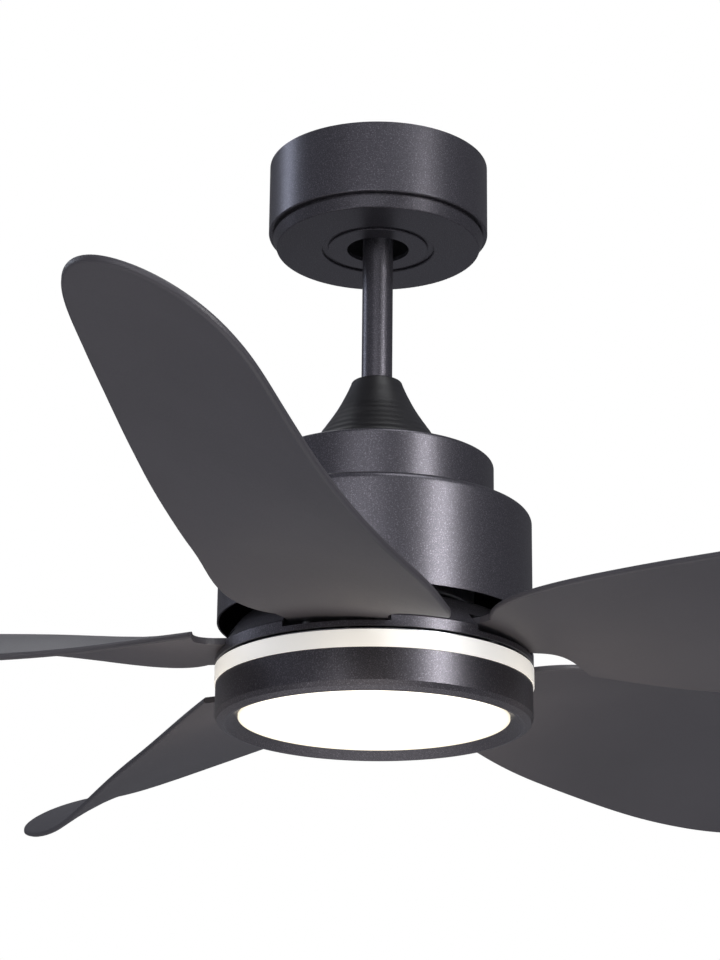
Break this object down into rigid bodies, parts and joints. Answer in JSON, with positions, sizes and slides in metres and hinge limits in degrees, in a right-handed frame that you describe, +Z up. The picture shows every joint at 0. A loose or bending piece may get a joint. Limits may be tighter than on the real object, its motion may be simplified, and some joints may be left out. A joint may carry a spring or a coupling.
{
  "type": "ceiling fan with light",
  "caption": "Ball-hung ceiling fan with a canopy, a down rod, a round stepped motor housing, twisted blades and a round lit band and diffuser below.",
  "frame": {"origin": "on the ceiling plane, where the fan axis meets the top face of the hanger bracket", "axes": "+Z up, away from the floor, out of the bracket face; +X along the line of the two ceiling screw slots"},
  "size_m": [1.273, 1.2703, 0.4373],
  "materials": {
    "graphite_paint": "satin",
    "bell_plastic": "matte",
    "blade_plastic": "matte",
    "zinc_steel": "satin",
    "cast_aluminium": "cast",
    "bearing_steel": "polished",
    "electrical_steel": "laminated",
    "copper_wire": "enamelled copper",
    "magnet": "ground",
    "black_plastic": "matte",
    "seat_rubber": "matte",
    "wire_insulation": "matte",
    "opal_acrylic": "opal, lit from behind",
    "board_white": "matte",
    "lamp_phosphor": "satin"
  },
  "bodies": {
    "ceiling_mount": {"hanger_bracket": "zinc_steel", "canopy": "graphite_paint", "canopy_cover": "graphite_paint", "canopy_screws": "zinc_steel", "radio_receiver": "black_plastic", "terminal_block": "black_plastic"},
    "ball_seat": {"ball_seat_liner": "seat_rubber"},
    "hanging_unit": {"ball_cross_pin": "zinc_steel", "ball_set_screw": "zinc_steel", "band_light_strip": "board_white", "coupling_cover": "bell_plastic", "diffuser": "opal_acrylic", "down_rod": "graphite_paint", "glow_band": "opal_acrylic", "hanger_ball": "black_plastic", "heat_spreader": "cast_aluminium", "housing_carrier": "cast_aluminium", "housing_screws": "zinc_steel", "kit_standoffs": "zinc_steel", "lamp_board": "board_white", "lamp_chips": "lamp_phosphor", "lamp_driver": "black_plastic", "light_base_pan": "zinc_steel", "light_ring": "graphite_paint", "lower_bearing_inner_race": "bearing_steel", "motor_housing": "graphite_paint", "motor_shaft": "zinc_steel", "motor_yoke": "zinc_steel", "shaft_nut": "zinc_steel", "stator_core": "electrical_steel", "stator_windings": "copper_wire", "supply_wires": "wire_insulation", "trim_ring": "graphite_paint", "upper_bearing_inner_race": "bearing_steel", "upper_housing": "graphite_paint", "yoke_hairpin": "zinc_steel", "yoke_pin": "zinc_steel", "yoke_set_screw": "zinc_steel"},
    "rotor": {"rotor_upper_cover": "cast_aluminium", "rotor_lower_cover": "cast_aluminium", "rotor_magnets": "magnet", "hub_screws": "zinc_steel", "hub_ring": "graphite_paint", "blade_1": "blade_plastic", "blade_2": "blade_plastic", "blade_3": "blade_plastic", "blade_4": "blade_plastic", "blade_5": "blade_plastic", "blade_screws": "zinc_steel", "upper_bearing_outer_race": "bearing_steel", "lower_bearing_outer_race": "bearing_steel"},
    "upper_bearing_balls": {"upper_bearing_ball_cage": "bearing_steel"},
    "lower_bearing_balls": {"lower_bearing_ball_cage": "bearing_steel"}
  },
  "joints": [
    {"name": "hanger_tilt_x", "type": "hinge", "parent": "ceiling_mount", "child": "ball_seat", "pos_m": [0, 0, -0.03], "axis": [1, 0, 0], "range_deg": [-10, 10]},
    {"name": "hanger_tilt_y", "type": "hinge", "parent": "ball_seat", "child": "hanging_unit", "pos_m": [0, 0, -0.03], "axis": [0, 1, 0], "range_deg": [-10, 10]},
    {"name": "rotor_spin", "type": "hinge", "parent": "hanging_unit", "child": "rotor", "pos_m": [0, 0, -0.3796], "axis": [0, 0, 1], "continuous": true},
    {"name": "upper_bearing_roll", "type": "hinge", "parent": "hanging_unit", "child": "upper_bearing_balls", "pos_m": [0, 0, -0.2995], "axis": [0, 0, 1], "continuous": true},
    {"name": "lower_bearing_roll", "type": "hinge", "parent": "hanging_unit", "child": "lower_bearing_balls", "pos_m": [0, 0, -0.3475], "axis": [0, 0, 1], "continuous": true}
  ],
  "couplings": [
    {"joint": "upper_bearing_roll", "follows": "rotor_spin", "ratio": 0.5828},
    {"joint": "lower_bearing_roll", "follows": "rotor_spin", "ratio": 0.5828}
  ]
}
